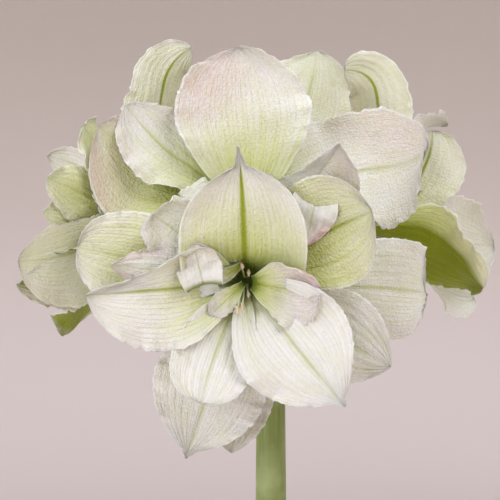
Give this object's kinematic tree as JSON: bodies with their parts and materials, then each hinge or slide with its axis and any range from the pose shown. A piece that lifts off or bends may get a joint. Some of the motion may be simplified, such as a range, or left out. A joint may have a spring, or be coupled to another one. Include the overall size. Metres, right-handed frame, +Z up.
{
  "type": "potted amaryllis",
  "caption": "Potted double amaryllis: a round head of wide ruffled blooms on a thick leafless stalk, with arching strap leaves and a half-buried bulb in a plain tapered pot",
  "frame": {"origin": "centre of the pot's flat bottom, on the surface it stands on", "axes": "+Z up along the stalk; the front bloom faces -Y; +X to the right of a viewer who looks along +Y"},
  "size_m": [0.3391, 0.2855, 0.7183],
  "materials": {
    "glaze": "satin",
    "potting_mix": "matte",
    "bulb_tunic": "satin",
    "stalk_skin": "satin",
    "leaf_skin": "satin",
    "dry_bract": "matte",
    "petal": "satin"
  },
  "bodies": {
    "root": {"pot": "glaze", "potting_mix": "potting_mix", "bulb": "bulb_tunic", "stalk": "stalk_skin", "leaf_1": "leaf_skin", "leaf_2": "leaf_skin", "leaf_3": "leaf_skin", "leaf_4": "leaf_skin", "spathe_1": "dry_bract", "spathe_2": "dry_bract", "bloom_front": "petal", "bloom_upper": "petal", "bloom_left": "petal", "bloom_right": "petal", "bloom_back": "petal"}
  },
  "joints": []
}
